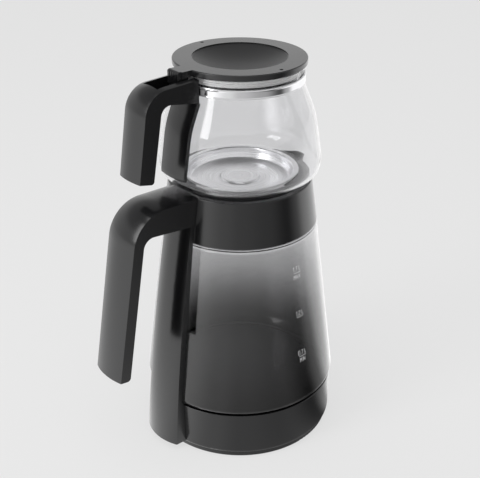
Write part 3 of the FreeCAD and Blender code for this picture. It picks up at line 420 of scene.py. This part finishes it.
def turn_from_front(nodes, links, output):
    """Degrees round the axis from the camera's side: left is minus, right is plus, 180 is behind."""
    split = nodes.new("ShaderNodeSeparateXYZ")
    links.new(output, split.inputs["Vector"])
    a = math.radians(CAMERA_AZIMUTH)
    parts = []
    for x, y in ((math.cos(a), math.sin(a)), (math.sin(a), -math.cos(a))):
        across = nodes.new("ShaderNodeMath")
        across.operation = "MULTIPLY"
        across.inputs[1].default_value = x
        links.new(split.outputs["X"], across.inputs[0])
        both = nodes.new("ShaderNodeMath")
        both.operation = "MULTIPLY_ADD"
        both.inputs[1].default_value = y
        links.new(split.outputs["Y"], both.inputs[0])
        links.new(across.outputs["Value"], both.inputs[2])
        parts.append(both.outputs["Value"])
    turn = nodes.new("ShaderNodeMath")
    turn.operation = "ARCTAN2"
    links.new(parts[0], turn.inputs[0])
    links.new(parts[1], turn.inputs[1])
    degrees = nodes.new("ShaderNodeMath")
    degrees.operation = "DEGREES"
    links.new(turn.outputs["Value"], degrees.inputs[0])
    return degrees.outputs["Value"]


def grey_ramp(nodes, links, value, stops, low=-1.0, high=1.0):
    """Grey levels along a value, from (value, level) pairs."""
    place = ranged(nodes, links, value, 0, 1, low, high)
    ramp = nodes.new("ShaderNodeValToRGB")
    ramp.color_ramp.interpolation = "EASE"
    elements = ramp.color_ramp.elements
    while len(elements) < len(stops):
        elements.new(0.5)
    for element, (at, level) in zip(elements, stops):
        element.position = (at - low) / (high - low)
        element.color = (level, level, level, 1)
    links.new(place, ramp.inputs["Fac"])
    return ramp.outputs["Color"]


def stage_material(name, color):
    """Pale ground with a soft shadow. In mirrors its level changes with the side that is seen."""
    mat, nodes, links, shader = material(name)
    out = nodes["Material Output"]
    shader.inputs["Base Color"].default_value = (color, color, color, 1)
    shader.inputs["Roughness"].default_value = 0.9
    glow = nodes.new("ShaderNodeEmission")
    glow.inputs["Color"].default_value = (FLOOR_GLOW, FLOOR_GLOW, FLOOR_GLOW, 1)
    mix = nodes.new("ShaderNodeMixShader")
    mix.inputs["Fac"].default_value = GLOW_SHARE
    links.new(shader.outputs["BSDF"], mix.inputs[1])
    links.new(glow.outputs["Emission"], mix.inputs[2])
    coords = nodes.new("ShaderNodeTexCoord")
    turn = turn_from_front(nodes, links, coords.outputs["Object"])
    mirrored = nodes.new("ShaderNodeEmission")
    mirrored.inputs["Strength"].default_value = MIRROR_LEVEL
    links.new(grey_ramp(nodes, links, turn, MIRRORED, -180, 180), mirrored.inputs["Color"])
    path = nodes.new("ShaderNodeLightPath")
    choose = nodes.new("ShaderNodeMixShader")
    mirror_only = nodes.new("ShaderNodeMath")
    mirror_only.operation = "SUBTRACT"
    mirror_only.use_clamp = True
    links.new(path.outputs["Is Glossy Ray"], mirror_only.inputs[0])
    links.new(path.outputs["Is Transmission Ray"], mirror_only.inputs[1])
    links.new(mirror_only.outputs["Value"], choose.inputs["Fac"])
    links.new(mix.outputs["Shader"], choose.inputs[1])
    links.new(mirrored.outputs["Emission"], choose.inputs[2])
    links.new(choose.outputs["Shader"], out.inputs["Surface"])
    return mat


floor = new_object("floor", [(-4, -4, 0), (4, -4, 0), (4, 4, 0), (-4, 4, 0)], [(0, 1, 2, 3)],
                   stage_material("pale_floor", BACKGROUND))

world = bpy.data.worlds.new("studio")
bpy.context.scene.world = world
world.use_nodes = True
wn = world.node_tree.nodes
wl = world.node_tree.links
sky = wn.new("ShaderNodeTexCoord")
height = wn.new("ShaderNodeSeparateXYZ")
wl.new(sky.outputs["Generated"], height.inputs["Vector"])
wl.new(grey_ramp(wn, wl, height.outputs["Z"], [(-1, 0.7), (0.0, 0.95), (0.36, 1.0), (0.6, 0.5), (1, 0.35)]),
       wn["Background"].inputs["Color"])
wn["Background"].inputs["Strength"].default_value = 1.0


def area(name, azimuth, elevation, distance, size, power):
    """Soft box aimed at the middle of the object."""
    lamp = bpy.data.lights.new(name, "AREA")
    lamp.shape = "RECTANGLE"
    lamp.size, lamp.size_y = size
    lamp.energy = power
    obj = bpy.data.objects.new(name, lamp)
    bpy.context.scene.collection.objects.link(obj)
    a, e = math.radians(azimuth), math.radians(elevation)
    middle = Vector((0, 0, 0.17))
    away = Vector((math.sin(a) * math.cos(e), -math.cos(a) * math.cos(e), math.sin(e)))
    obj.location = middle + away * distance
    obj.rotation_euler = (-away).to_track_quat("-Z", "Y").to_euler()


area("top_box", -60, 75, 1.6, (1.2, 0.9), 8)
area("left_box", -95, 30, 1.5, (0.5, 1.3), 9)

camera_data = bpy.data.cameras.new("camera")
camera_data.sensor_fit = "HORIZONTAL"
camera_data.sensor_width = 36.0
camera_data.lens = FOCAL_PX / IMAGE_WIDTH_PX * 36.0
camera = bpy.data.objects.new("camera", camera_data)
bpy.context.scene.collection.objects.link(camera)
a = math.radians(CAMERA_AZIMUTH)
camera.location = (CAMERA_DISTANCE * math.sin(a), -CAMERA_DISTANCE * math.cos(a), CAMERA_HEIGHT)
pitch = math.radians(CAMERA_PITCH)
ahead = Vector((-math.sin(a) * math.cos(pitch), math.cos(a) * math.cos(pitch), -math.sin(pitch)))
camera.rotation_euler = ahead.to_track_quat("-Z", "Y").to_euler()
bpy.context.scene.camera = camera

view = bpy.context.scene.view_settings
view.view_transform = "Standard"
